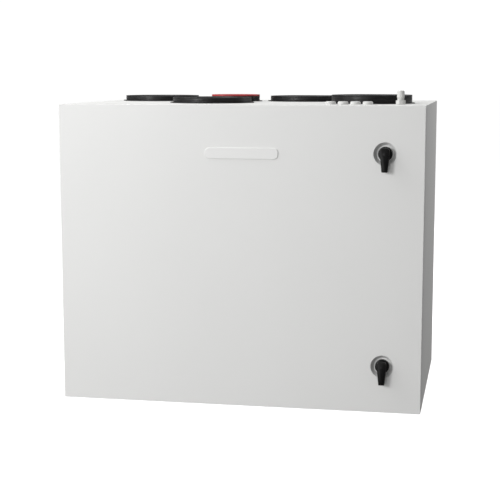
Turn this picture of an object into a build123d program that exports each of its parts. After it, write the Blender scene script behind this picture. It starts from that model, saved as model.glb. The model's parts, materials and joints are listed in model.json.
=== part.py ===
from build123d import *
import os
from math import acos, atan2, cos, degrees, pi, radians, sin, sqrt

os.makedirs("parts", exist_ok=True)

# Rotary heat recovery ventilation unit with its duct collars on top.
# Frame: origin at the centre of the footprint on the base plane, +X to the
# right as seen from the door side, +Y towards the back, +Z up. Millimetres.

# ---------------------------------------------------------------- dimensions
W = 1000.0          # width
D = 670.0           # depth, door included
H = 825.0           # height of the casing
DOOR_T = 50.0       # door thickness
SEAM = 5.0          # seam between door and casing, taken up by the gasket
WALL = 50.0         # sandwich wall
SKIN = 1.2          # outer sheet
LINE = 0.8          # inner sheet
DOOR_LIFT = 1.0     # the door clears the base plane

DUCT_R = 100.5      # socket for a 200 mm duct
COLLAR_R = 113.0    # outer radius over the ribs
COLLAR_H = 16.2     # height above the top sheet
COLLAR_TALL_H = 23.8
TUBE_R = 105.5      # collar tube inside the panel
FLANGE = 8.0        # how far each collar's foot flange stands out beyond its ribs
HOOD_DUCT_R = 63.0  # socket for a 125 mm duct
HOOD_R = 73.0
HOOD_H = 16.0
HOOD_TUBE_R = 66.5

BACK_LEFT = (-339.0, 172.0)
FRONT_LEFT = (-123.0, -88.0)
BACK_RIGHT = (117.0, 172.0)
FRONT_RIGHT = (336.0, -88.0)
HOOD_AT = (-97.0, 125.0)

GROMMET_X = (238.6, 272.3, 305.9, 339.6)
GROMMET_Y = -240.0
GLAND_AT = (426.0, -218.0)

LATCH_X = 395.7
LATCH_Z = {"upper": 698.2, "lower": 127.0}
SPINDLE_R = 6.0
LEVER_OUT = 18.5    # how far the grip stands out of the door face

HINGE_AT = (-498.0, -282.5)   # vertical hinge line in the seam
HINGE_Z = (150.0, 675.0)
HINGE_L = 80.0
KNUCKLE_R = 3.2

WHEEL_R = 230.0
WHEEL_T = 150.0
WHEEL_Y = 10.0
WHEEL_Z = 320.0
PULLEY_R = 18.0
PULLEY_AT = (-190.0, 520.0)   # y, z
FAN_R = 95.0

# ---------------------------------------------------------------- derived
XL, XR = -W / 2, W / 2
YF, YB = -D / 2, D / 2
Y_DOOR_BACK = YF + DOOR_T
Y_CASE = Y_DOOR_BACK + SEAM          # front plane of the casing
XI = XR - WALL                       # inner faces of the cavity
YI = YB - WALL
ZI0, ZI1 = WALL, H - WALL
Z_SHELF = 320.0


def bx(x0, x1, y0, y1, z0, z1):
    b = Box(x1 - x0, y1 - y0, z1 - z0)
    return b.moved(Location(((x0 + x1) / 2, (y0 + y1) / 2, (z0 + z1) / 2)))


def cz(x, y, z0, z1, r):
    return Cylinder(r, z1 - z0).moved(Location((x, y, (z0 + z1) / 2)))


def cy(x, z, y0, y1, r):
    return Cylinder(r, y1 - y0).moved(Location((x, (y0 + y1) / 2, z), (90, 0, 0)))


def cx(y, z, x0, x1, r):
    return Cylinder(r, x1 - x0).moved(Location(((x0 + x1) / 2, y, z), (0, 90, 0)))


def turned(points):
    """Solid of revolution about Z from (r, z) points."""
    f = make_face(Polyline(*[(r, 0, z) for r, z in points], close=True))
    return revolve(f, Axis.Z)


def solids_of(shape):
    return list(shape.solids())


def save(name, *shapes):
    out = []
    for s in shapes:
        out += solids_of(s)
    for s in out:
        assert s.is_valid and s.volume > 0, name
    body = out[0] if len(out) == 1 else Compound(children=out)
    body.label = name
    export_step(body, f"parts/{name}.step")


# ---------------------------------------------------------------- casing
top_tubes = [(*p, TUBE_R + 0.3) for p in (BACK_LEFT, FRONT_LEFT, BACK_RIGHT, FRONT_RIGHT)]
top_tubes.append((*HOOD_AT, HOOD_TUBE_R + 0.3))
small_holes = [(x, GROMMET_Y, 10.3) for x in GROMMET_X] + [(*GLAND_AT, 10.3)]


def drilled(shape, z0, z1):
    for x, y, r in top_tubes + small_holes:
        shape = shape - cz(x, y, z0 - 1, z1 + 1, r)
    return shape


groove = None
for zc in HINGE_Z:
    g = cz(*HINGE_AT, zc - HINGE_L / 2 - 0.5, zc + HINGE_L / 2 + 0.5, KNUCKLE_R + 0.4)
    groove = g if groove is None else groove + g

FOOT_AT = [(x, y) for x in (-400.0, 400.0) for y in (-220.0, 270.0)]
FOOT_HOLE_R = 4.5

base_panel = bx(XL, XR, Y_CASE, YB - SKIN, 0, SKIN)
for x, y in FOOT_AT:
    base_panel = base_panel - cz(x, y, -1, 3, FOOT_HOLE_R)
save("base_panel", base_panel)

top_panel = bx(XL, XR, Y_CASE, YB, H - SKIN, H)
edges = top_panel.edges().filter_by_position(Axis.Z, H - 0.01, H + 0.01)
edges = [e for e in edges if not (abs(e.center().Y - Y_CASE) < 0.1)]
top_panel = fillet(edges, 1.0)
top_panel = drilled(top_panel, H - SKIN, H)
save("top_panel", top_panel)

left_panel = bx(XL, XL + SKIN, Y_CASE, YB - SKIN, SKIN, H - SKIN) - groove
save("left_panel", left_panel)
right_panel = bx(XR - SKIN, XR, Y_CASE, YB - SKIN, SKIN, H - SKIN)
save("right_panel", right_panel)
back_panel = bx(XL, XR, YB - SKIN, YB, 0, H - SKIN)
edges = [e for e in back_panel.edges() if abs(e.center().Y - YB) < 0.01 and abs(abs(e.center().X) - XR) < 0.01]
back_panel = fillet(edges, 1.0)
save("back_panel", back_panel)

front_frame = bx(XL + SKIN, XR - SKIN, Y_CASE, Y_CASE + SKIN, SKIN, H - SKIN) - bx(
    -XI, XI, Y_CASE - 1, Y_CASE + 3, ZI0, ZI1
) - groove
save("front_frame", front_frame)

YS = Y_CASE + SKIN                   # slabs start behind the frame
base_slab = bx(XL + SKIN, XR - SKIN, YS, YB - SKIN, SKIN, ZI0 - LINE)
for x, y in FOOT_AT:
    base_slab = base_slab - cz(x, y, SKIN - 1, SKIN + 12, 9.5)
save("base_insulation", base_slab)
top_slab = drilled(bx(XL + SKIN, XR - SKIN, YS, YB - SKIN, ZI1 + LINE, H - SKIN), ZI1, H)
save("top_insulation", top_slab)
save("left_insulation", bx(XL + SKIN, -XI - LINE, YS, YB - SKIN, ZI0 - LINE, ZI1 + LINE) - groove)
save("right_insulation", bx(XI + LINE, XR - SKIN, YS, YB - SKIN, ZI0 - LINE, ZI1 + LINE))
save("back_insulation", bx(-XI - LINE, XI + LINE, YI + LINE, YB - SKIN, ZI0 - LINE, ZI1 + LINE))

liner = bx(-XI - LINE, XI + LINE, YS, YI + LINE, ZI0 - LINE, ZI1 + LINE) - bx(
    -XI, XI, YS - 1, YI, ZI0, ZI1
)
liner = drilled(liner, ZI1, ZI1 + LINE)
save("inner_liner", liner)

nuts = []
for x, y in FOOT_AT:
    n = extrude(Plane.XY.offset(SKIN) * Location((x, y)) * RegularPolygon(7.5, 6), 8)
    nuts.append(n - cz(x, y, 0, 12, FOOT_HOLE_R))
save("foot_nuts", *nuts)

# ---------------------------------------------------------------- door
DISH_R, DISH_BOTTOM_R, DISH_DEPTH = 31.0, 23.0, 12.0
z0d = DOOR_LIFT


def dish(zc, grow):
    """Shallow cone sunk into the door face; grow thickens it inwards."""
    prof = [
        (0, -DISH_DEPTH - grow),
        (DISH_BOTTOM_R + grow * 0.4, -DISH_DEPTH - grow),
        (DISH_R + grow * 0.4, -grow),
        (DISH_R + grow * 0.4, 1.0 if grow == 0 else 0.0),
        (0, 1.0 if grow == 0 else 0.0),
    ]
    s = turned(prof)
    # local +Z becomes -Y (out of the door face)
    return s.moved(Location((LATCH_X, YF, zc), (90, 0, 0)))


shell = bx(XL, XR, YF, Y_DOOR_BACK - SKIN, z0d, H)
outer_edges = [
    e
    for e in shell.edges()
    if (abs(e.center().Y - YF) < 0.01)
    or (abs(abs(e.center().X) - XR) < 0.01 and (abs(e.center().Z - z0d) < 0.01 or abs(e.center().Z - H) < 0.01))
]
shell = fillet(outer_edges, 1.0)
hollow = bx(XL + SKIN, XR - SKIN, YF + SKIN, Y_DOOR_BACK, z0d + SKIN, H - SKIN)
hollow = fillet(
    [e for e in hollow.edges() if abs(e.center().Y - (YF + SKIN)) < 0.01], 0.8
)
door_skin = shell - hollow
for zc in LATCH_Z.values():
    door_skin = door_skin - cy(LATCH_X, zc, YF - 2, YF + 2, DISH_R)
    d = dish(zc, SKIN) - dish(zc, 0)
    d = d - cy(LATCH_X, zc, YF - 2, YF + DISH_DEPTH + 4, 11.2)
    door_skin = door_skin + d
door_skin = door_skin - groove
save("door_skin", door_skin)

door_slab = bx(XL + SKIN, XR - SKIN, YF + SKIN, Y_DOOR_BACK - SKIN, z0d + SKIN, H - SKIN)
door_slab = fillet([e for e in door_slab.edges() if abs(e.center().Y - (YF + SKIN)) < 0.01], 0.8)
door_liner = bx(XL, XR, Y_DOOR_BACK - SKIN, Y_DOOR_BACK, z0d, H)
for zc in LATCH_Z.values():
    door_slab = door_slab - cy(LATCH_X, zc, YF - 1, YF + DISH_DEPTH + 3, 33.0) - cy(LATCH_X, zc, YF - 1, Y_DOOR_BACK, 11.2)
    door_liner = door_liner - cy(LATCH_X, zc, YF, Y_DOOR_BACK + 1, 11.2)
save("door_insulation", door_slab - groove)
save("door_liner", door_liner - groove)

gasket = bx(-468, 468, Y_DOOR_BACK, Y_CASE - 0.4, 32, 793) - bx(
    -456, 456, Y_DOOR_BACK - 1, Y_CASE + 1, 44, 781
)
save("door_gasket", gasket)

# blank plate where a name plate would sit
BADGE_X, BADGE_Z, BADGE_W, BADGE_H = 11.0, 695.5, 200.0, 30.0
badge = bx(BADGE_X - BADGE_W / 2, BADGE_X + BADGE_W / 2, YF - 2.0, YF, BADGE_Z - BADGE_H / 2, BADGE_Z + BADGE_H / 2)
badge = fillet([e for e in badge.edges() if abs(e.length - 2.0) < 0.01], 12.0)
badge = fillet([e for e in badge.edges() if abs(e.center().Y - (YF - 2.0)) < 0.05], 1.2)
save("badge_plate", badge)

for which, zc in LATCH_Z.items():
    face_y = YF + DISH_DEPTH
    housing = (
        cy(LATCH_X, zc, face_y - 4.0, face_y, 19.0)
        + cy(LATCH_X, zc, face_y, Y_DOOR_BACK, 11.0)
        + cy(LATCH_X, zc, Y_DOOR_BACK, Y_DOOR_BACK + 6.0, 15.0)
    ) - cy(LATCH_X, zc, face_y - 10, Y_DOOR_BACK + 10, SPINDLE_R + 0.06)
    save(f"latch_housing_{which}", housing)

    head_back = face_y - 4.4
    head = cy(LATCH_X, zc, head_back - 8.5, head_back, 19.0)
    head = fillet(
        [e for e in head.edges() if abs(e.center().Y - (head_back - 8.5)) < 0.01], 2.0
    )
    grip_pts = [(-9.5, 15.5), (-12.4, 11.5), (-12.4, -6.0), (-7.9, -47.4), (7.9, -47.4), (12.4, -6.0), (12.4, 11.5), (9.5, 15.5)]
    sk = make_face(Polyline(*[(LATCH_X + a, 0, zc + b) for a, b in grip_pts], close=True))
    sk = sk.moved(Location((0, YF - LEVER_OUT, 0)))
    grip = extrude(sk, amount=LEVER_OUT - 7.0, dir=(0, 1, 0))
    grip = fillet([e for e in grip.edges() if abs(e.center().Y - (YF - LEVER_OUT)) < 0.01], 2.2)
    neck = bx(LATCH_X - 11.6, LATCH_X + 11.6, YF - 8.0, head_back - 4.0, zc - 11.5, zc + 11.5)
    spindle = cy(LATCH_X, zc, head_back - 2, Y_CASE + 18.0, SPINDLE_R)
    save(f"latch_lever_{which}", head + grip + neck + spindle)

    c0, c1 = Y_CASE + 9.0, Y_CASE + 13.0
    cam = bx(LATCH_X - 8, LATCH_X + 8, c0, c1, zc - 50, zc) + cy(LATCH_X, zc, c0, c1, 12.0)
    cam = fillet(
        [e for e in cam.edges() if abs(e.center().Z - (zc - 50)) < 0.01 and abs(e.length - 4.0) < 0.01], 3.0
    )
    cam = cam - cy(LATCH_X, zc, c0 - 1, c1 + 1, SPINDLE_R + 0.02)
    save(f"latch_cam_{which}", cam)
    nut = extrude(Plane.XZ.offset(-c1) * Location((LATCH_X, zc)) * RegularPolygon(9.0, 6), -4.5)
    nut = nut - cy(LATCH_X, zc, c1 - 1, c1 + 8, SPINDLE_R + 0.02)
    save(f"cam_nut_{which}", nut)

strikes = []
for zc in LATCH_Z.values():
    s = bx(XI - 22, XI, Y_CASE + 5.0, Y_CASE + 8.0, zc - 22, zc + 22)
    s = s + bx(XI - 3, XI, Y_CASE + 5.0, Y_CASE + 38.0, zc - 22, zc + 22)
    strikes.append(s)
save("latch_strikes", *strikes)

# seam hinges: leaves folded round one pin
leaf_door, leaf_case, pins = [], [], []
hx, hy = HINGE_AT
for zc in HINGE_Z:
    a, b = zc - HINGE_L / 2, zc + HINGE_L / 2
    k0, k1 = zc - 13.2, zc + 13.2
    bore = cz(hx, hy, a - 1, b + 1, 1.6)
    knob = (cz(hx, hy, k0, k1, KNUCKLE_R) + bx(hx, hx + 5, Y_DOOR_BACK, Y_DOOR_BACK + 1.4, k0, k1)) - bore
    leaf_door.append(knob + bx(hx + 4.5, hx + 26, Y_DOOR_BACK, Y_DOOR_BACK + 1.4, a, b))
    k = cz(hx, hy, a, k0 - 0.4, KNUCKLE_R) + bx(hx, hx + 5, Y_CASE - 1.4, Y_CASE, a, k0 - 0.4)
    k = k + cz(hx, hy, k1 + 0.4, b, KNUCKLE_R) + bx(hx, hx + 5, Y_CASE - 1.4, Y_CASE, k1 + 0.4, b)
    leaf_case.append((k - bore) + bx(hx + 4.5, hx + 26, Y_CASE - 1.4, Y_CASE, a, b))
    pins.append(cz(hx, hy, a, b, 1.55))
save("hinge_leaves_door", *leaf_door)
save("hinge_leaves_casing", *leaf_case)
save("hinge_pins", *pins)

# ---------------------------------------------------------------- top fittings


def collar(x, y, r_out, r_bore, r_tube, h):
    """Flanged ribbed socket: flange on the top sheet, tube down to the chamber."""
    g = 1.6
    prof = [
        (r_bore, ZI1),
        (r_tube, ZI1),
        (r_tube, H),
        (r_out + FLANGE, H),
        (r_out + FLANGE, H + 1.6),
        (r_out + FLANGE - 1.5, H + 2.4),
        (r_out - g, H + 3.1),
        (r_out - g, H + 3.6),
        (r_out, H + 4.2),
    ]
    z = 4.2
    lip = 3.4
    ribs = max(1, round((h - z - lip) / 7.0))
    pitch = (h - z - lip) / ribs
    for i in range(ribs):
        prof += [
            (r_out, H + z + pitch - 2.6),
            (r_out - g, H + z + pitch - 2.0),
            (r_out - g, H + z + pitch - 0.6),
            (r_out, H + z + pitch),
        ]
        z += pitch
    prof += [(r_out, H + h - 1.0), (r_out - 1.0, H + h), (r_bore + 2.0, H + h), (r_bore, H + h - 2.0)]
    return turned(prof).moved(Location((x, y, 0)))


save("collar_back_left", collar(*BACK_LEFT, COLLAR_R, DUCT_R, TUBE_R, COLLAR_H))
save("collar_front_left", collar(*FRONT_LEFT, COLLAR_R, DUCT_R, TUBE_R, COLLAR_H))
save("collar_back_right", collar(*BACK_RIGHT, COLLAR_R, DUCT_R, TUBE_R, COLLAR_H))
save("collar_front_right", collar(*FRONT_RIGHT, COLLAR_R, DUCT_R, TUBE_R, COLLAR_TALL_H))
save("hood_collar", collar(*HOOD_AT, HOOD_R, HOOD_DUCT_R, HOOD_TUBE_R, HOOD_H))

# lift-off cap: rim on the collar, skirt in its bore, moulded grip across the dish
ct = H + HOOD_H + 0.3
cap = turned(
    [
        (0, ct - 3.0),
        (HOOD_DUCT_R - 3.0, ct - 3.0),
        (HOOD_DUCT_R - 3.0, ct - 16.0),
        (HOOD_DUCT_R - 0.6, ct - 16.0),
        (HOOD_DUCT_R - 0.6, ct),
        (HOOD_R, ct),
        (HOOD_R, ct + 3.0),
        (HOOD_R - 1.0, ct + 4.0),
        (HOOD_R - 7.0, ct + 4.0),
        (HOOD_R - 8.5, ct + 1.0),
        (0, ct + 1.0),
    ]
)
cap = cap + bx(-52, 52, -5, 5, ct, ct + 3.8)
save("hood_cap", cap.moved(Location((*HOOD_AT, 0))))

grommets = []
for x in GROMMET_X:
    g = turned(
        [(0, H + 8.4), (11.0, H + 8.4), (12.8, H + 7.8), (13.8, H + 6.4), (14.4, H + 2.0), (14.8, H + 1.2),
         (14.8, H), (10.0, H), (10.0, ZI1), (8.0, ZI1), (8.0, H + 6.4), (0, H + 6.4)]
    )
    grommets.append(g.moved(Location((x, GROMMET_Y, 0))))
save("cable_grommets", *grommets)

gx, gy = GLAND_AT
hexnut = extrude(Plane.XY.offset(H) * Location((gx, gy)) * RegularPolygon(13.6, 6, rotation=12), 11.5)
gland = hexnut + cz(gx, gy, H + 11.5, H + 18, 9.0) + cz(gx, gy, ZI1, H, 10.0)
gland = gland - cz(gx, gy, ZI1 - 1, H + 14, 6.0)
save("cable_gland_body", gland)
dome = turned([(0, H + 18), (10.2, H + 18), (10.2, H + 33.0), (9.8, H + 35.0), (8.6, H + 36.8), (6.6, H + 37.6), (0, H + 37.6)])
dome = dome.moved(Location((gx, gy, 0)))
for k in range(8):
    a = 2 * pi * k / 8
    dome = dome - cz(gx + 11.4 * cos(a), gy + 11.4 * sin(a), H + 20.0, H + 29, 2.0)
save("cable_gland_nut", dome)

# ---------------------------------------------------------------- air side
T = 1.5
YP = Y_CASE + 3.0     # front edges of the dividers
shelf_l = bx(-XI, -100, YP, 200, Z_SHELF, Z_SHELF + T)
shelf_r = bx(100, XI, YP, 200, Z_SHELF, Z_SHELF + T)
save("divider_shelves", shelf_l, shelf_r)

FAN_Z = 583.0         # supply fan plate
PLEN_Y = 60.0         # wall between front and rear plenums
save(
    "plenum_divider",
    bx(-XI, XI, PLEN_Y, PLEN_Y + T, 600, ZI1),
    bx(-6, -6 + T, YP, PLEN_Y, 600, ZI1),
    bx(-6, -6 + T, PLEN_Y + T, YI, 600, ZI1),
)

save(
    "rear_channels",
    bx(-XI, -100, 200, 200 + T, Z_SHELF, 600 - T),
    bx(-XI, -6, PLEN_Y, 200 + T, 600 - T, 600),
    bx(100, XI, 200, 200 + T, Z_SHELF, 600 - T),
    bx(-4.5, XI, PLEN_Y, 200 + T, 600 - T, 600),
)

# rotor cassette with a cross beam on each side carrying the axle
C0, C1 = -100.0, 100.0
half = 260.0
y0c, y1c, z0c, z1c = WHEEL_Y - half, WHEEL_Y + half, WHEEL_Z - half, WHEEL_Z + half
cas = [
    bx(C0 + T, C1 - T, y0c, y1c, z0c, z0c + T),
    bx(C0 + T, C1 - T, y0c, y1c, z1c - T, z1c),
    bx(C0 + T, C1 - T, y0c, y0c + T, z0c + T, z1c - T),
    bx(C0 + T, C1 - T, y1c - T, y1c, z0c + T, z1c - T),
]
for x0, x1 in ((C0, C0 + T), (C1 - T, C1)):
    cas.append(bx(x0, x1, y0c, y1c, z0c, z1c) - cx(WHEEL_Y, WHEEL_Z, x0 - 1, x1 + 1, WHEEL_R - 8))
for x0, x1 in ((-98.5, -80.0), (80.0, 98.5)):
    cas.append(
        bx(x0, x1, y0c + T, y1c - T, WHEEL_Z - 18, WHEEL_Z + 18)
        - cx(WHEEL_Y, WHEEL_Z, x0 - 1, x1 + 1, 10.02)
    )
save("rotor_cassette", *cas)

save("rotor_axle", cx(WHEEL_Y, WHEEL_Z, -98.0, 98.0, 10.0))

hw = WHEEL_T / 2
rim = cx(WHEEL_Y, WHEEL_Z, -hw, hw, WHEEL_R) - cx(WHEEL_Y, WHEEL_Z, -hw - 1, hw + 1, WHEEL_R - 3)
hub = cx(WHEEL_Y, WHEEL_Z, -hw, hw, 30) - cx(WHEEL_Y, WHEEL_Z, -hw - 1, hw + 1, 10.06)
spokes = None
for k in range(6):
    s = bx(-hw, hw, 28, WHEEL_R - 1.5, -1.5, 1.5).rotate(Axis.X, 60 * k).moved(Location((0, WHEEL_Y, WHEEL_Z)))
    spokes = s if spokes is None else spokes + s
wheel_frame = rim + hub + spokes
save("rotor_frame", wheel_frame)
matrix = cx(WHEEL_Y, WHEEL_Z, -hw + 2, hw - 2, WHEEL_R - 3) - cx(WHEEL_Y, WHEEL_Z, -hw - 1, hw + 1, 30)
for k in range(6):
    s = bx(-hw, hw, 20, WHEEL_R + 2, -1.5, 1.5).rotate(Axis.X, 60 * k).moved(Location((0, WHEEL_Y, WHEEL_Z)))
    matrix = matrix - s
save("rotor_matrix", matrix)

# belt round the wheel's rim and the motor pulley


def loop(r1, r2, x0, x1):
    """Prism over two discs joined by their outer tangents, in the YZ plane."""
    (y1, z1), (y2, z2) = (WHEEL_Y, WHEEL_Z), PULLEY_AT
    d = sqrt((y2 - y1) ** 2 + (z2 - z1) ** 2)
    base = atan2(z2 - z1, y2 - y1)
    off = acos((r1 - r2) / d)
    pts = []
    for s, (cy0, cz0), r in ((1, (y1, z1), r1), (1, (y2, z2), r2), (-1, (y2, z2), r2), (-1, (y1, z1), r1)):
        a = base + s * off
        pts.append((x0, cy0 + r * cos(a), cz0 + r * sin(a)))
    quad = extrude(make_face(Polyline(*pts, close=True)), amount=x1 - x0, dir=(1, 0, 0))
    return quad + cx(y1, z1, x0, x1, r1) + cx(y2, z2, x0, x1, r2)


belt = loop(WHEEL_R + 2.8, PULLEY_R + 2.8, -8, 8) - loop(WHEEL_R + 0.3, PULLEY_R + 0.3, -9, 9)
save("drive_belt", belt)
py, pz = PULLEY_AT
save("drive_pulley", cx(py, pz, -11, 11, PULLEY_R) + cx(py, pz, 11, 30, 4.0))
motor = cx(py, pz, 14, 90, 28) - cx(py, pz, 13, 32, 4.06)
motor = motor + bx(86, 98.5, py - 34, py + 34, pz - 10, pz + 10)
save("drive_motor", motor)


# filters: frame with a thick pad of media, pleated on both faces
def panel_filter(x0, x1, y0, y1, z0, z1):
    frame = bx(x0, x1, y0, y1, z0, z1) - bx(x0 - 1, x1 + 1, y0 + 12, y1 - 12, z0 + 12, z1 - 12)
    n = 24
    ya, yb = y0 + 12, y1 - 12
    step = (yb - ya) / (2 * n)
    xa, xb = x0 + 4, x1 - 4
    front = [(xa if i % 2 == 0 else xa + 8, ya + i * step, z0 + 12) for i in range(2 * n + 1)]
    back = [(xb if i % 2 == 0 else xb - 8, ya + i * step, z0 + 12) for i in range(2 * n + 1)]
    media = extrude(make_face(Polyline(*(front + back[::-1]), close=True)), amount=(z1 - 12) - (z0 + 12), dir=(0, 0, 1))
    return frame, media


save("supply_filter", *panel_filter(-162, -114, -255, 195, Z_SHELF + T + 3, 576))
save("extract_filter", *panel_filter(114, 162, -255, 195, 53, Z_SHELF - 3))


def fan(plate, place):
    """Plug fan on local +Z: plate with inlet nozzle, posts and carrier; motor; impeller."""
    x0, x1, y0, y1 = plate
    body = [
        bx(x0, x1, y0, y1, 0, 3) - cz(0, 0, -1, 4, 60),
        cz(0, 0, 3, 22, 62.5) - cz(0, 0, 2, 23, 60),
    ]
    for sx in (-1, 1):
        for sy in (-1, 1):
            body.append(cz(sx * 79, sy * 79, 3, 137, 4))
    arm = Box(240, 20, 4).rotate(Axis.Z, 45).moved(Location((0, 0, 139)))
    arm2 = Box(240, 20, 4).rotate(Axis.Z, -45).moved(Location((0, 0, 139)))
    body.append(arm + arm2 + cz(0, 0, 137, 141, 46))
    body = Compound(children=[q for p in body for q in solids_of(p)])
    motor = cz(0, 0, 89, 137, 42) - cz(0, 0, 88, 122, 6.06)
    wheel = cz(0, 0, 82, 85, FAN_R) + cz(0, 0, 85, 118, 6.0)
    wheel = wheel + (cz(0, 0, 25, 29, FAN_R) - cz(0, 0, 24, 30, 66))
    wheel = wheel + Cone(26, 12, 16).moved(Location((0, 0, 74), (180, 0, 0)))
    for k in range(7):
        blade = bx(40, 96, -1.2, 1.2, 26, 83).rotate(Axis((64, 0, 0), (0, 0, 1)), 42)
        blade = blade.rotate(Axis.Z, 360 / 7 * k)
        wheel = wheel + blade
    wheel = wheel & cz(0, 0, 20, 120, FAN_R)
    return [s.moved(place) for s in (body, motor, wheel)]


sx, sy = 300.0, -75.0
b, m, w = fan((-4 - sx, XI - sx, YP - sy, PLEN_Y - sy), Location((sx, sy, FAN_Z)))
save("supply_fan_plate", b)
save("supply_fan_motor", m)
save("supply_impeller", w)
# local +Z becomes +Y: rotate about X by -90, so local +Y becomes -Z
ex, ez = -275.0, 186.0
b, m, w = fan((-XI - ex, -100 - ex, ez - (Z_SHELF), ez - ZI0), Location((ex, PLEN_Y, ez), (-90, 0, 0)))
save("exhaust_fan_plate", b)
save("exhaust_fan_motor", m)
save("exhaust_impeller", w)

# electric air heater
hf_parts = [
    bx(176, 216, -240, -225, 335, 572),
    bx(176, 216, 175, 190, 335, 572),
    bx(176, 216, -225, 175, 335, 350),
    bx(176, 216, -225, 175, 557, 572),
]
for z in (385, 430, 475, 520):
    hf_parts.append(cy(196, z, -225, 175, 4.0))
save("air_heater", *hf_parts)

# controller behind the top front edge: a tray open to the cable entries above it
cbx = bx(225, 445, -255, -198, 606, 770) - bx(227, 443, -256, -200, 608, 771)
save("controller_box", cbx)
save("controller_cover", bx(225, 445, -257, -255, 606, 770))
print("nodes", len(os.listdir("parts")))
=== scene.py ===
import bpy
import bmesh
import json
import math
from mathutils import Matrix, Vector


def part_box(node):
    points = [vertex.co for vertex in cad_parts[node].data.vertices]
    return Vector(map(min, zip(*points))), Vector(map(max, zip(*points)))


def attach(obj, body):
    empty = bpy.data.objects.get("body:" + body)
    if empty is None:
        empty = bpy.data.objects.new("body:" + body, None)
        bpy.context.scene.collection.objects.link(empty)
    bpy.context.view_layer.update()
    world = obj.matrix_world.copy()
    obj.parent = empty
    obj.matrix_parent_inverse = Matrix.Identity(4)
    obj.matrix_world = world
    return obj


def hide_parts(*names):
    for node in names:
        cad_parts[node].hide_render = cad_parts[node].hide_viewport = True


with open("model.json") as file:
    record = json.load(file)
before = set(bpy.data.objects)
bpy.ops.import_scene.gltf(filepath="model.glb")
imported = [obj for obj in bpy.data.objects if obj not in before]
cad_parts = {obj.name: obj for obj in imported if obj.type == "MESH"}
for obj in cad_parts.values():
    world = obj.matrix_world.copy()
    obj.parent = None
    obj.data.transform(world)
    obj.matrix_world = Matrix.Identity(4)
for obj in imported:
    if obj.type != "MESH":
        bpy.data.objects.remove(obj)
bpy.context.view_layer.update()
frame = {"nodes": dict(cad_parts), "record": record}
MM = 0.001
scene = bpy.context.scene
scene.view_settings.view_transform = "Standard"
scene.view_settings.look = "None"
scene.view_settings.exposure = 0.0
scene.view_settings.gamma = 1.0

# ------------------------------------------------------------------ camera
# the photograph's viewing angle: about 11 degrees to the right, 8 degrees down
YAW, PITCH = 0.1894, 0.1403
cam_data = bpy.data.cameras.new("camera")
cam = bpy.data.objects.new("camera", cam_data)
scene.collection.objects.link(cam)
cam_data.sensor_width = 36.0
cam_data.lens = 89.40
cam_data.clip_start, cam_data.clip_end = 0.05, 200.0
cam.location = (0.66129, -3.60293, 0.90465)
fwd = Vector((-math.sin(YAW) * math.cos(PITCH), math.cos(YAW) * math.cos(PITCH), -math.sin(PITCH)))
cam.rotation_mode = "QUATERNION"
cam.rotation_quaternion = fwd.to_track_quat("-Z", "Y")
scene.camera = cam


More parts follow.
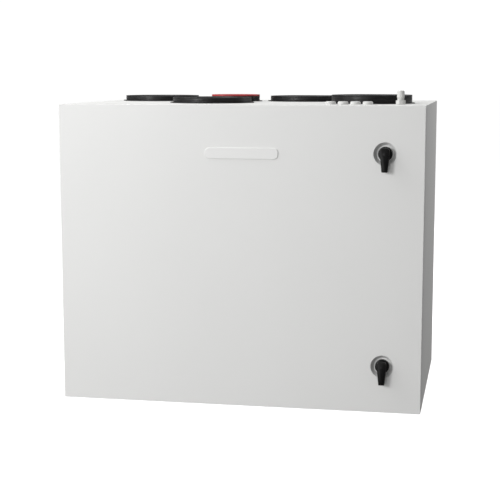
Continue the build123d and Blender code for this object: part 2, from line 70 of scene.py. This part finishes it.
# ------------------------------------------------------------------ node help
class Mat:
    """Small builder round a Principled material, with object coordinates in metres."""

    def __init__(self, name):
        self.m = bpy.data.materials.new(name)
        self.m.use_nodes = True
        self.t = self.m.node_tree
        self.b = self.t.nodes["Principled BSDF"]
        self.co = self.t.nodes.new("ShaderNodeTexCoord").outputs["Object"]

    def node(self, kind, **props):
        n = self.t.nodes.new(kind)
        for k, v in props.items():
            setattr(n, k, v)
        return n

    def link(self, a, b):
        self.t.links.new(a, b)

    def mapped(self, scale=(1, 1, 1), loc=(0, 0, 0), rot=(0, 0, 0)):
        n = self.node("ShaderNodeMapping")
        n.inputs["Scale"].default_value = scale
        n.inputs["Location"].default_value = loc
        n.inputs["Rotation"].default_value = rot
        self.link(self.co, n.inputs["Vector"])
        return n.outputs["Vector"]

    def noise(self, scale, detail=2.0, rough=0.5, vec=None, distortion=0.0):
        n = self.node("ShaderNodeTexNoise")
        n.inputs["Scale"].default_value = scale
        n.inputs["Detail"].default_value = detail
        n.inputs["Roughness"].default_value = rough
        n.inputs["Distortion"].default_value = distortion
        self.link(vec if vec is not None else self.co, n.inputs["Vector"])
        return n.outputs["Fac"]

    def voronoi(self, scale, feature="F1", vec=None, out="Distance", rand=1.0):
        n = self.node("ShaderNodeTexVoronoi", feature=feature)
        n.inputs["Scale"].default_value = scale
        n.inputs["Randomness"].default_value = rand
        self.link(vec if vec is not None else self.co, n.inputs["Vector"])
        return n.outputs[out]

    def wave(self, scale, kind="BANDS", direction="X", vec=None, distortion=0.0, detail=0.0):
        n = self.node("ShaderNodeTexWave", wave_type=kind)
        if kind == "BANDS":
            n.bands_direction = direction
        else:
            n.rings_direction = direction
        n.inputs["Scale"].default_value = scale
        n.inputs["Distortion"].default_value = distortion
        n.inputs["Detail"].default_value = detail
        self.link(vec if vec is not None else self.co, n.inputs["Vector"])
        return n.outputs["Fac"]

    def ramp(self, fac, stops):
        n = self.node("ShaderNodeValToRGB")
        els = n.color_ramp.elements
        while len(els) < len(stops):
            els.new(0.5)
        for e, (p, c) in zip(els, stops):
            e.position = p
            e.color = (*c, 1.0)
        self.link(fac, n.inputs["Fac"])
        return n.outputs["Color"]

    def span(self, fac, lo, hi, a=0.0, b=1.0):
        n = self.node("ShaderNodeMapRange")
        n.inputs["From Min"].default_value = a
        n.inputs["From Max"].default_value = b
        n.inputs["To Min"].default_value = lo
        n.inputs["To Max"].default_value = hi
        self.link(fac, n.inputs["Value"])
        return n.outputs["Result"]

    def math(self, op, a, b=None, v=0.0):
        n = self.node("ShaderNodeMath", operation=op)
        self.link(a, n.inputs[0])
        if b is None:
            n.inputs[1].default_value = v
        else:
            self.link(b, n.inputs[1])
        return n.outputs["Value"]

    def mix(self, fac, a, b):
        n = self.node("ShaderNodeMix", data_type="RGBA")
        if isinstance(fac, float):
            n.inputs[0].default_value = fac
        else:
            self.link(fac, n.inputs[0])
        for v, i in ((a, 6), (b, 7)):
            if isinstance(v, tuple):
                n.inputs[i].default_value = (*v, 1.0)
            else:
                self.link(v, n.inputs[i])
        return n.outputs[2]

    def bump(self, height, distance, strength=1.0, under=None):
        n = self.node("ShaderNodeBump")
        n.inputs["Strength"].default_value = strength
        n.inputs["Distance"].default_value = distance
        self.link(height, n.inputs["Height"])
        if under is not None:
            self.link(under, n.inputs["Normal"])
        return n.outputs["Normal"]

    def done(self, color=None, rough=None, normal=None, metallic=0.0, **sockets):
        b = self.b
        if isinstance(color, tuple):
            b.inputs["Base Color"].default_value = (*color, 1.0)
        elif color is not None:
            self.link(color, b.inputs["Base Color"])
        if isinstance(rough, float):
            b.inputs["Roughness"].default_value = rough
        elif rough is not None:
            self.link(rough, b.inputs["Roughness"])
        if normal is not None:
            self.link(normal, b.inputs["Normal"])
        b.inputs["Metallic"].default_value = metallic
        for k, v in sockets.items():
            b.inputs[k.replace("_", " ")].default_value = v
        return self.m


def tint(c, k):
    return tuple(min(1.0, v * k) for v in c)


def powder_coat(name, color, rough=0.46, peel=0.00006):
    m = Mat(name)
    broad = m.noise(2.2, 3.0)
    fine = m.noise(55.0, 4.0, 0.6)
    col = m.ramp(broad, [(0.3, tint(color, 0.985)), (0.7, tint(color, 1.01))])
    col = m.mix(m.span(fine, 0.0, 0.035), col, tint(color, 0.86))
    r = m.span(m.noise(34.0, 3.0), rough - 0.05, rough + 0.06)
    grain = m.noise(950.0, 2.0, 0.6)
    waves = m.noise(4.0, 1.0)
    n = m.bump(waves, 0.0012, 0.25)
    n = m.bump(grain, peel, 0.55, n)
    return m.done(col, r, n, Coat_Weight=0.06, Coat_Roughness=0.32)


def moulded(name, color, rough=0.42, grain=0.00005, scale=1500.0, lift=1.7, shine=0.5):
    m = Mat(name)
    patch = m.noise(18.0, 3.0)
    col = m.ramp(patch, [(0.3, tint(color, 0.85)), (0.75, tint(color, lift))])
    r = m.span(m.noise(120.0, 3.0), rough - 0.07, rough + 0.08)
    cells = m.voronoi(scale)
    n = m.bump(cells, grain, 0.6)
    n = m.bump(m.noise(60.0, 2.0), 0.0002, 0.18, n)
    return m.done(col, r, n, Specular_IOR_Level=shine)


def galvanised(name, color, rough=0.36, spangle=85.0):
    m = Mat(name)
    cell = m.voronoi(spangle, out="Color")
    sep = m.node("ShaderNodeSeparateColor")
    m.link(cell, sep.inputs["Color"])
    fac = sep.outputs["Red"]
    col = m.ramp(fac, [(0.0, tint(color, 0.82)), (0.5, color), (1.0, tint(color, 1.14))])
    dull = m.noise(9.0, 4.0, 0.6)
    col = m.mix(m.span(dull, 0.0, 0.25), col, tint(color, 0.72))
    r = m.math("ADD", m.span(sep.outputs["Green"], rough - 0.08, rough + 0.1), m.span(dull, -0.02, 0.08))
    n = m.bump(fac, 0.00008, 0.35)
    n = m.bump(m.noise(700.0, 2.0), 0.00004, 0.4, n)
    return m.done(col, r, n, metallic=0.85)


def machined(name, color, rough=0.3, direction="X", stretch=(900, 40, 40)):
    m = Mat(name)
    lines = m.noise(1.0, 3.0, 0.6, vec=m.mapped(scale=stretch))
    col = m.ramp(lines, [(0.25, tint(color, 0.86)), (0.75, tint(color, 1.08))])
    smut = m.noise(40.0, 4.0)
    col = m.mix(m.span(smut, 0.0, 0.2), col, tint(color, 0.6))
    r = m.math("ADD", m.span(lines, rough - 0.06, rough + 0.1), m.span(smut, -0.03, 0.07))
    n = m.bump(lines, 0.00005, 0.4)
    return m.done(col, r, n, metallic=1.0)


def wool(name, color):
    m = Mat(name)
    strands = m.noise(1.0, 5.0, 0.7, vec=m.mapped(scale=(90, 90, 420)), distortion=1.2)
    clumps = m.noise(38.0, 4.0, 0.6)
    col = m.ramp(strands, [(0.2, tint(color, 0.62)), (0.55, color), (0.85, tint(color, 1.25))])
    col = m.mix(m.span(clumps, 0.0, 0.45), col, tint(color, 0.72))
    n = m.bump(clumps, 0.003, 0.6)
    n = m.bump(strands, 0.0015, 0.9, n)
    return m.done(col, 0.95, n, Sheen_Weight=0.2)


def rubber(name, color, rough=0.7, lift=1.5):
    m = Mat(name)
    bloom = m.noise(30.0, 4.0, 0.6)
    col = m.ramp(bloom, [(0.3, color), (0.8, tint(color, lift))])
    r = m.span(m.noise(210.0, 3.0), rough - 0.1, rough + 0.08)
    n = m.bump(m.noise(1300.0, 2.0), 0.00006, 0.5)
    return m.done(col, r, n)


def fleece(name, color):
    m = Mat(name)
    fibre = m.noise(1.0, 6.0, 0.75, vec=m.mapped(scale=(700, 700, 240)), distortion=2.0)
    dust = m.noise(14.0, 4.0, 0.6)
    col = m.ramp(fibre, [(0.25, tint(color, 0.84)), (0.75, color)])
    col = m.mix(m.span(dust, 0.0, 0.18), col, (0.42, 0.4, 0.36))
    n = m.bump(fibre, 0.0006, 0.6)
    return m.done(col, 0.93, n, Sheen_Weight=0.15)


def wound_foil(name, color, centre):
    m = Mat(name)
    vec = m.mapped(loc=tuple(-c for c in centre))
    rings = m.wave(40.0, "RINGS", "X", vec=vec)
    cell = m.voronoi(330.0, vec=vec)
    # painted shade: cell centres darkened to 0.22 of the foil colour for the shade inside the matrix's open air
    # channels
    col = m.ramp(cell, [(0.0, tint(color, 0.22)), (0.35, tint(color, 0.7)), (0.75, tint(color, 1.1))])
    col = m.mix(m.span(rings, 0.0, 0.35), col, tint(color, 0.45))
    smudge = m.noise(12.0, 4.0)
    col = m.mix(m.span(smudge, 0.0, 0.22), col, (0.3, 0.29, 0.27))
    n = m.bump(cell, 0.0012, 0.8)
    n = m.bump(rings, 0.0008, 0.5, n)
    return m.done(col, m.span(smudge, 0.32, 0.5), n, metallic=0.8)


wheel_lo, wheel_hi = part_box("rotor_matrix")
wheel_c = tuple((a + b) / 2 for a, b in zip(wheel_lo, wheel_hi))

M = {
    "white_coat": powder_coat("white_coat", (0.855, 0.856, 0.84)),
    "door_coat": powder_coat("door_coat", (0.855, 0.856, 0.844), 0.44),
    "badge_white": powder_coat("badge_white", (0.86, 0.86, 0.85), 0.36, 0.00003),
    "galvanised": galvanised("galvanised", (0.6, 0.615, 0.63)),
    "zinc_steel": machined("zinc_steel", (0.66, 0.65, 0.62), 0.32, stretch=(220, 220, 900)),
    "mineral_wool": wool("mineral_wool", (0.6, 0.5, 0.27)),
    "seal_rubber": rubber("seal_rubber", (0.018, 0.018, 0.019)),
    "white_rubber": rubber("white_rubber", (0.58, 0.58, 0.57), 0.6, 1.06),
    "black_nylon": moulded("black_nylon", (0.0042, 0.0042, 0.0043), 0.36, shine=0.2),
    "collar_black": moulded("collar_black", (0.0075, 0.0075, 0.0078), 0.32, 0.00004, shine=0.34),
    "red_plastic": moulded("red_plastic", (0.4, 0.034, 0.036), 0.4, lift=1.15, shine=0.4),
    "white_nylon": moulded("white_nylon", (0.62, 0.62, 0.605), 0.4, lift=1.04),
    "control_grey": moulded("control_grey", (0.2, 0.205, 0.215), 0.5, lift=1.2),
    "bare_aluminium": machined("bare_aluminium", (0.72, 0.73, 0.74), 0.34, stretch=(60, 500, 500)),
    "wheel_foil": wound_foil("wheel_foil", (0.66, 0.67, 0.68), wheel_c),
    "motor_metal": moulded("motor_metal", (0.045, 0.046, 0.05), 0.45, 0.00008, 700.0),
    "filter_paper": fleece("filter_paper", (0.8, 0.79, 0.74)),
}

slot_of = {s["node"]: s["material_slot"] for s in frame["record"]["subparts"]}
for node, obj in frame["nodes"].items():
    mat = M[slot_of[node]]
    if not obj.material_slots:
        obj.data.materials.append(mat)
    for s in obj.material_slots:
        s.material = mat


# ------------------------------------------------------------------ mesh help
def put(name, bm, slot, body, nodes=(), angle=32.0, bevel=None):
    """Finishes a bmesh as a piece of the object."""
    bmesh.ops.recalc_face_normals(bm, faces=bm.faces)
    me = bpy.data.meshes.new(name)
    bm.to_mesh(me)
    bm.free()
    me.polygons.foreach_set("use_smooth", [True] * len(me.polygons))
    me.set_sharp_from_angle(angle=math.radians(angle))
    me.materials.append(M[slot])
    ob = bpy.data.objects.new(name, me)
    scene.collection.objects.link(ob)
    if bevel:
        mod = ob.modifiers.new("edges", "BEVEL")
        mod.width, mod.segments, mod.limit_method = bevel, 3, "ANGLE"
        mod.angle_limit = math.radians(35)
        mod.harden_normals = True
    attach(ob, body)
    if nodes:
        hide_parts(*nodes)
    return ob


def rounded(profile, radius, steps=3):
    """Closed (r, z) loop with its corners turned into small arcs."""
    out, n = [], len(profile)
    for i in range(n):
        p0, p1, p2 = Vector(profile[i - 1]), Vector(profile[i]), Vector(profile[(i + 1) % n])
        a, b = p0 - p1, p2 - p1
        if p1.x < 1e-6 or a.length < 1e-9 or b.length < 1e-9:
            out.append(tuple(p1))
            continue
        k = min(radius, a.length * 0.42, b.length * 0.42)
        s, e = p1 + a.normalized() * k, p1 + b.normalized() * k
        for j in range(steps + 1):
            t = j / steps
            q = s * (1 - t) ** 2 + p1 * 2 * t * (1 - t) + e * t ** 2
            out.append(tuple(q))
    return out


def lathe_into(bm, loop, centre, axis="Z", segs=144):
    """Revolves a closed (r, h) loop. centre is the point at h = 0; h runs along the axis."""
    cx, cy, cz = centre

    def at(r, h, a):
        c, s = r * math.cos(a), r * math.sin(a)
        if axis == "Z":
            return (cx + c, cy + s, cz + h)
        if axis == "Y":
            return (cx + c, cy + h, cz + s)
        return (cx + h, cy + c, cz + s)

    rings = []
    for r, h in loop:
        if r < 1e-7:
            rings.append([bm.verts.new(at(0, h, 0))])
        else:
            rings.append([bm.verts.new(at(r, h, 2 * math.pi * k / segs)) for k in range(segs)])
    n = len(rings)
    for i in range(n):
        a, b = rings[i], rings[(i + 1) % n]
        if len(a) == 1 and len(b) == 1:
            continue
        for k in range(segs):
            k2 = (k + 1) % segs
            if len(a) == 1:
                bm.faces.new((a[0], b[k], b[k2]))
            elif len(b) == 1:
                bm.faces.new((a[k], b[0], a[k2]))
            else:
                bm.faces.new((a[k], b[k], b[k2], a[k2]))


def stack_into(bm, rings):
    """Skins equal-length closed rings of points and caps both ends."""
    vs = [[bm.verts.new(p) for p in ring] for ring in rings]
    n = len(vs[0])
    for a, b in zip(vs, vs[1:]):
        for k in range(n):
            bm.faces.new((a[k], a[(k + 1) % n], b[(k + 1) % n], b[k]))
    bm.faces.new(vs[0])
    bm.faces.new(list(reversed(vs[-1])))


def grown(points, d):
    """Offsets a convex, counterclockwise 2-D outline outwards by d."""
    n, out = len(points), []
    for i in range(n):
        p0, p1, p2 = Vector(points[i - 1]), Vector(points[i]), Vector(points[(i + 1) % n])
        a, b = (p1 - p0).normalized(), (p2 - p1).normalized()
        n1, n2 = Vector((a.y, -a.x)), Vector((b.y, -b.x))
        m = (n1 + n2)
        m = m / max(0.3, m.length_squared) * 2
        out.append(tuple(p1 + m * d))
    return out


def soft_outline(points, radius, steps=5):
    """2-D outline with its corners turned into arcs."""
    n, out = len(points), []
    for i in range(n):
        p0, p1, p2 = Vector(points[i - 1]), Vector(points[i]), Vector(points[(i + 1) % n])
        a, b = p0 - p1, p2 - p1
        k = min(radius, a.length * 0.45, b.length * 0.45)
        s, e = p1 + a.normalized() * k, p1 + b.normalized() * k
        for j in range(steps + 1):
            t = j / steps
            out.append(tuple(s * (1 - t) ** 2 + p1 * 2 * t * (1 - t) + e * t ** 2))
    return out


def mid(node):
    lo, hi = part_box(node)
    return [(a + b) / 2 for a, b in zip(lo, hi)]


TOP_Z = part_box("top_panel")[1][2]
CEIL_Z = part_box("collar_back_left")[0][2]

# ------------------------------------------------------------------ collars


def collar(node, bore_mm, tube_mm):
    lo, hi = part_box(node)
    cx, cy = (lo[0] + hi[0]) / 2, (lo[1] + hi[1]) / 2
    rf = (hi[0] - lo[0]) / 2
    r = rf - 8.0 * MM
    h = hi[2] - TOP_Z
    g = 1.7 * MM
    z = lambda v: v * MM
    deep = CEIL_Z - TOP_Z
    loop = [
        (bore_mm * MM, deep), (tube_mm * MM, deep), (tube_mm * MM, z(0.05)),
        (rf, z(0.05)), (rf, z(1.5)), (rf - z(1.5), z(2.3)), (r - g, z(2.9)), (r - g, z(3.7)), (r, z(4.3)),
    ]
    at, lip = 4.3, 3.2
    room = h / MM - at - lip
    ribs = max(1, round(room / 3.7))
    pitch = room / ribs
    for i in range(ribs):
        loop += [
            (r, z(at + pitch - 1.35)), (r - g, z(at + pitch - 1.05)),
            (r - g, z(at + pitch - 0.35)), (r, z(at + pitch)),
        ]
        at += pitch
    loop += [
        (r, h - z(0.9)), (r - z(0.9), h), (bore_mm * MM + z(2.6), h), (bore_mm * MM + z(0.2), h - z(2.4)),
        (bore_mm * MM + z(0.2), h - z(6.0)), (bore_mm * MM + z(1.6), h - z(6.4)),
        (bore_mm * MM + z(1.6), h - z(9.6)), (bore_mm * MM + z(0.2), h - z(10.0)),
        (bore_mm * MM + z(0.2), deep + z(4)),
    ]
    bm = bmesh.new()
    lathe_into(bm, rounded(loop, z(0.35), 2), (cx, cy, TOP_Z), segs=180)
    put(node + "_shell", bm, "collar_black", "casing", [node], 38)
    # lip seal seated in the groove just inside the mouth
    b = bore_mm * MM
    seal = [
        (b + z(1.5), h - z(6.6)), (b + z(1.5), h - z(9.4)), (b + z(0.3), h - z(9.2)),
        (b - z(1.6), h - z(10.6)), (b - z(1.9), h - z(10.1)), (b - z(0.1), h - z(8.4)), (b + z(0.3), h - z(6.8)),
    ]
    bm = bmesh.new()
    lathe_into(bm, rounded(seal, z(0.25), 2), (cx, cy, TOP_Z), segs=180)
    put(node + "_lip_seal", bm, "seal_rubber", "casing", (), 50)


for n in ("collar_back_left", "collar_front_left", "collar_back_right", "collar_front_right"):
    collar(n, 100.5, 105.5)
collar("hood_collar", 63.0, 66.5)

# ------------------------------------------------------------------ red cap
lo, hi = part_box("hood_cap")
cx, cy = (lo[0] + hi[0]) / 2, (lo[1] + hi[1]) / 2
zb, zt = lo[2], hi[2]
R = (hi[0] - lo[0]) / 2
ct = zb + 16.0 * MM
u = MM
cap = [
    (0, ct - 3 * u), (60 * u, ct - 3 * u), (60 * u, zb), (62.3 * u, zb), (62.3 * u, zb + 3 * u), (61.9 * u, zb + 3.4 * u),
    (61.9 * u, zb + 6 * u), (62.4 * u, zb + 6.4 * u), (62.4 * u, ct), (R, ct), (R, zt - 1.0 * u), (R - 1.0 * u, zt),
    (R - 6.8 * u, zt), (R - 8.4 * u, ct + 1.2 * u), (44 * u, ct + 1.0 * u), (43 * u, ct + 1.7 * u),
    (40 * u, ct + 1.7 * u), (39 * u, ct + 1.0 * u), (0, ct + 1.0 * u),
]
bm = bmesh.new()
lathe_into(bm, rounded([(r, z) for r, z in cap], 0.5 * u, 2), (cx, cy, 0), segs=160)
put("hood_cap_disc", bm, "red_plastic", "hood_lid", ["hood_cap"], 40)
bm = bmesh.new()
grip = soft_outline([(-0.050, -0.0046), (0.050, -0.0046), (0.050, 0.0046), (-0.050, 0.0046)], 0.0044, 6)
rings = []
for z, d in ((ct + 0.6 * u, 0.0003), (ct + 2.2 * u, 0.0), (ct + 3.3 * u, -0.0004), (ct + 3.75 * u, -0.0012)):
    rings.append([(cx + x, cy + y, z) for x, y in grown(grip, d)])
stack_into(bm, rings)
put("hood_cap_grip", bm, "red_plastic", "hood_lid", (), 40)

# ------------------------------------------------------------------ grommets
lo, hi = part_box("cable_grommets")
gy = (lo[1] + hi[1]) / 2
r0 = (hi[1] - lo[1]) / 2
n_gr = 4
first, last = lo[0] + r0, hi[0] - r0
gz = hi[2] - TOP_Z
for i in range(n_gr):
    gx = first + (last - first) * i / (n_gr - 1)
    prof = [
        (0, gz - 0.9 * u), (3.2 * u, gz - 0.9 * u), (4.0 * u, gz - 0.35 * u), (8.6 * u, gz - 0.05 * u),
        (11.0 * u, gz - 0.1 * u), (12.7 * u, gz - 0.8 * u), (13.7 * u, gz - 2.2 * u), (14.3 * u, gz - 6.4 * u),
        (r0, gz - 7.2 * u), (r0, 0.02 * u), (10.0 * u, 0.02 * u), (10.0 * u, CEIL_Z - TOP_Z),
        (8.0 * u, CEIL_Z - TOP_Z), (8.0 * u, gz - 2.2 * u), (0, gz - 2.2 * u),
    ]
    bm = bmesh.new()
    lathe_into(bm, rounded(prof, 0.6 * u, 3), (gx, gy, TOP_Z), segs=72)
    put(f"cable_grommet_{i + 1}", bm, "white_rubber", "casing", ["cable_grommets"] if i == 0 else (), 45)

# ------------------------------------------------------------------ cable gland
lo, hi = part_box("cable_gland_body")
dlo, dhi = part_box("cable_gland_nut")
gx, gy = (dlo[0] + dhi[0]) / 2, (dlo[1] + dhi[1]) / 2
hex_r = 13.6 * u
hexa = [(hex_r * math.cos(math.radians(12 + 60 * k)), hex_r * math.sin(math.radians(12 + 60 * k))) for k in range(6)]
hexa = soft_outline(hexa, 2.0 * u, 4)
bm = bmesh.new()
rings = []
for z, d in ((0.02 * u, -1.1 * u), (0.9 * u, -0.05 * u), (1.5 * u, 0.0), (10.2 * u, 0.0), (10.9 * u, -0.25 * u), (11.5 * u, -1.4 * u)):
    rings.append([(gx + x, gy + y, TOP_Z + z) for x, y in grown(hexa, d)])
stack_into(bm, rings)
lathe_into(
    bm,
    rounded([(6.0 * u, 11.2 * u), (9.0 * u, 11.2 * u), (9.0 * u, 18.0 * u), (6.0 * u, 18.0 * u)], 0.4 * u),
    (gx, gy, TOP_Z), segs=64,
)
for k in range(3):  # exposed thread turns on the neck
    z = (13.0 + 1.6 * k) * u
    lathe_into(bm, rounded([(8.9 * u, z), (9.6 * u, z + 0.4 * u), (9.6 * u, z + 0.7 * u), (8.9 * u, z + 1.1 * u)], 0.15 * u), (gx, gy, TOP_Z), segs=64)
lathe_into(bm, [(6.0 * u, CEIL_Z - TOP_Z), (10.0 * u, CEIL_Z - TOP_Z), (10.0 * u, 0.3 * u), (6.0 * u, 0.3 * u)], (gx, gy, TOP_Z), segs=64)
put("cable_gland_base", bm, "white_nylon", "casing", ["cable_gland_body"], 35)

bm = bmesh.new()
segs = 96
heights = [(18.0, 9.2, 0.0), (18.4, 9.9, 0.0), (19.6, 10.2, 0.2), (20.6, 10.2, 0.9), (27.0, 10.2, 0.9), (28.4, 10.2, 0.15),
           (32.6, 10.15, 0.0), (34.4, 9.85, 0.0), (35.6, 9.4, 0.0), (36.5, 8.7, 0.0), (37.2, 7.7, 0.0), (37.52, 6.4, 0.0),
           (37.5, 5.0, 0.0), (37.0, 4.2, 0.0), (35.2, 3.8, 0.0)]
rings = []
for z, r, dip in heights:
    ring = []
    for k in range(segs):
        a = 2 * math.pi * k / segs
        w = max(0.0, math.cos(8 * a)) ** 3
        rr = (r - dip * w) * u
        ring.append((gx + rr * math.cos(a), gy + rr * math.sin(a), TOP_Z + z * u))
    rings.append(ring)
stack_into(bm, rings)
put("cable_gland_dome", bm, "white_nylon", "casing", ["cable_gland_nut"], 50)

# ------------------------------------------------------------------ latches
for which in ("upper", "lower"):
    lo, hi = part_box(f"latch_lever_{which}")
    hlo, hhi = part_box(f"latch_housing_{which}")
    lx, lz = (hlo[0] + hhi[0]) / 2, (hlo[2] + hhi[2]) / 2
    y_out = lo[1]
    y_back = hlo[1] - 0.4 * u       # back of the head
    body = f"latch_{which}"
    bm = bmesh.new()
    hr = 19.0 * u
    head = [
        (0, 0), (hr - 0.6 * u, 0), (hr, -0.6 * u), (hr, -6.2 * u), (hr - 0.6 * u, -7.5 * u), (hr - 2.0 * u, -8.5 * u),
        (hr - 4.2 * u, -8.9 * u), (0, -9.2 * u),
    ]
    lathe_into(bm, rounded(head, 0.5 * u, 2), (lx, y_back, lz), axis="Y", segs=96)
    # tapered grip across the head, crowned, with softened edges
    pts = [(-7.9, -47.4), (7.9, -47.4), (12.4, -6.0), (12.4, 11.5), (9.5, 15.5), (-9.5, 15.5), (-12.4, 11.5), (-12.4, -6.0)]
    pts = soft_outline([(a * u, b * u) for a, b in pts], 1.8 * u, 4)
    rings = []
    y_in = y_out + 11.5 * u
    for y, d in ((y_in, 0.0), (y_out + 2.6 * u, -0.1 * u), (y_out + 1.3 * u, -0.45 * u), (y_out + 0.5 * u, -1.1 * u), (y_out + 0.08 * u, -2.2 * u)):
        rings.append([(lx + a, y, lz + b) for a, b in grown(pts, d)])
    stack_into(bm, rings)
    # square neck between the grip and the head
    pts = soft_outline([(-11.6 * u, -11.5 * u), (11.6 * u, -11.5 * u), (11.6 * u, 11.5 * u), (-11.6 * u, 11.5 * u)], 1.8 * u, 4)
    rings = [[(lx + a, y, lz + b) for a, b in pts] for y in (y_back - 7.5 * u, y_in - 0.5 * u)]
    stack_into(bm, rings)
    lathe_into(bm, [(0, -2 * u), (6.0 * u, -2 * u), (6.0 * u, hi[1] - y_back - 0.8 * u), (5.2 * u, hi[1] - y_back), (0, hi[1] - y_back)],
               (lx, y_back, lz), axis="Y", segs=48)
    put(f"lever_{which}", bm, "black_nylon", body, [f"latch_lever_{which}"], 35)
    # round screw plug in the grip, above the spindle
    bm = bmesh.new()
    plug = [(0, 0.4 * u), (4.6 * u, 0.4 * u), (4.6 * u, 0.02 * u), (0, 0.02 * u)]
    lathe_into(bm, rounded(plug, 0.2 * u, 2), (lx, y_out, lz), axis="Y", segs=40)
    put(f"lever_plug_{which}", bm, "black_nylon", body, (), 35)

# ------------------------------------------------------------------ stage
floor_me = bpy.data.meshes.new("floor")
S = 60.0
floor_me.from_pydata([(-S, -S, 0), (S, -S, 0), (S, S, 0), (-S, S, 0)], [], [(0, 1, 2, 3)])
floor = bpy.data.objects.new("floor", floor_me)
scene.collection.objects.link(floor)
floor.location.z = -0.0005
fm = bpy.data.materials.new("studio_floor")
fm.use_nodes = True
fb = fm.node_tree.nodes["Principled BSDF"]
fb.inputs["Base Color"].default_value = (0.8, 0.8, 0.8, 1)
fb.inputs["Roughness"].default_value = 0.9
fb.inputs["Emission Color"].default_value = (1, 1, 1, 1)
fb.inputs["Emission Strength"].default_value = 0.86
floor_me.materials.append(fm)
floor.visible_diffuse = False
floor.visible_glossy = False

world = bpy.data.worlds.new("studio")
scene.world = world
world.use_nodes = True
wt = world.node_tree
bg = wt.nodes["Background"]
bg.inputs["Color"].default_value = (1, 1, 1, 1)
bg.inputs["Strength"].default_value = 0.196
seen = wt.nodes.new("ShaderNodeBackground")
seen.inputs["Color"].default_value = (1, 1, 1, 1)
seen.inputs["Strength"].default_value = 1.05
lp = wt.nodes.new("ShaderNodeLightPath")
mx = wt.nodes.new("ShaderNodeMixShader")
wt.links.new(lp.outputs["Is Camera Ray"], mx.inputs["Fac"])
wt.links.new(bg.outputs["Background"], mx.inputs[1])
wt.links.new(seen.outputs["Background"], mx.inputs[2])
wt.links.new(mx.outputs["Shader"], wt.nodes["World Output"].inputs["Surface"])


def area(name, loc, at, size, power, size_y=None):
    d = bpy.data.lights.new(name, "AREA")
    d.energy = power
    d.size = size
    if size_y:
        d.shape = "RECTANGLE"
        d.size_y = size_y
    o = bpy.data.objects.new(name, d)
    scene.collection.objects.link(o)
    o.location = loc
    o.rotation_mode = "QUATERNION"
    o.rotation_quaternion = (Vector(at) - Vector(loc)).to_track_quat("-Z", "Y")
    return o


area("key", (-2.8, -4.0, 1.9), (0.1, -0.3, 0.5), 1.1, 97.0)
area("left_fill", (-4.2, -2.4, 1.2), (0.0, 0.0, 0.4), 2.2, 32.0)
area("overhead", (-0.4, 0.3, 3.6), (0.0, 0.0, 0.8), 2.4, 50.0)
area("top_left", (-2.6, -0.6, 3.0), (-0.1, 0.0, 0.6), 1.8, 60.1)
area("front_low", (-1.0, -4.5, 0.3), (0.0, 0.0, 0.4), 2.5, 52.0)
area("right_rear", (1.9, 1.3, 1.8), (0.5, 0.1, 0.5), 1.0, 16.0)
area("back_fill", (-0.9, 4.0, 0.3), (0.0, 0.3, 0.35), 0.9, 34.0)
